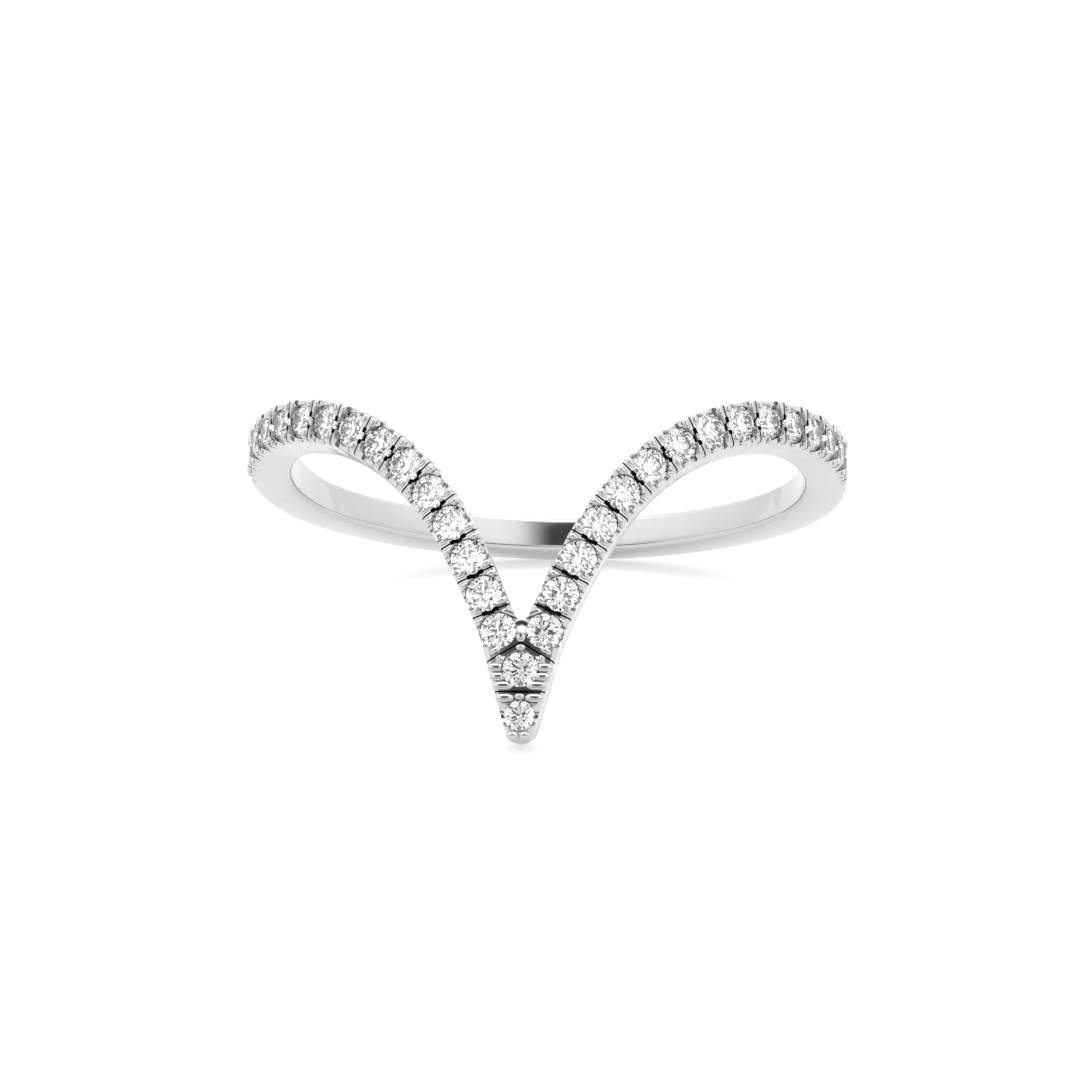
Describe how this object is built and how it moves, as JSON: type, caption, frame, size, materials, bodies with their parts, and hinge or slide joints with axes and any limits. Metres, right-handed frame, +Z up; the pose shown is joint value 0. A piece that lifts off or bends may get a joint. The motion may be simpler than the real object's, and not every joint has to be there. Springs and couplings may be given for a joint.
{
  "type": "chevron ring",
  "caption": "Polished chevron ring: a plain round shank that rises to shoulders and dips at the front into a deep V, set with a row of small round brilliant stones.",
  "frame": {"origin": "middle of the ring's footprint, on the surface that it lies on", "axes": "+Z up, -Y towards the point of the V, +X to the right seen from the front; the finger hole's axis leans 30.1 degrees back from +Z"},
  "size_m": [0.0194, 0.0225, 0.0092],
  "materials": {
    "white_gold": "polished",
    "diamond": "faceted"
  },
  "bodies": {
    "root": {"band": "white_gold", "stone_point": "diamond", "stone_join": "diamond", "stone_left_01": "diamond", "stone_left_02": "diamond", "stone_left_03": "diamond", "stone_left_04": "diamond", "stone_left_05": "diamond", "stone_left_06": "diamond", "stone_left_07": "diamond", "stone_left_08": "diamond", "stone_left_09": "diamond", "stone_left_10": "diamond", "stone_left_11": "diamond", "stone_left_12": "diamond", "stone_left_13": "diamond", "stone_left_14": "diamond", "stone_left_15": "diamond", "stone_right_01": "diamond", "stone_right_02": "diamond", "stone_right_03": "diamond", "stone_right_04": "diamond", "stone_right_05": "diamond", "stone_right_06": "diamond", "stone_right_07": "diamond", "stone_right_08": "diamond", "stone_right_09": "diamond", "stone_right_10": "diamond", "stone_right_11": "diamond", "stone_right_12": "diamond", "stone_right_13": "diamond", "stone_right_14": "diamond", "stone_right_15": "diamond"}
  },
  "joints": []
}
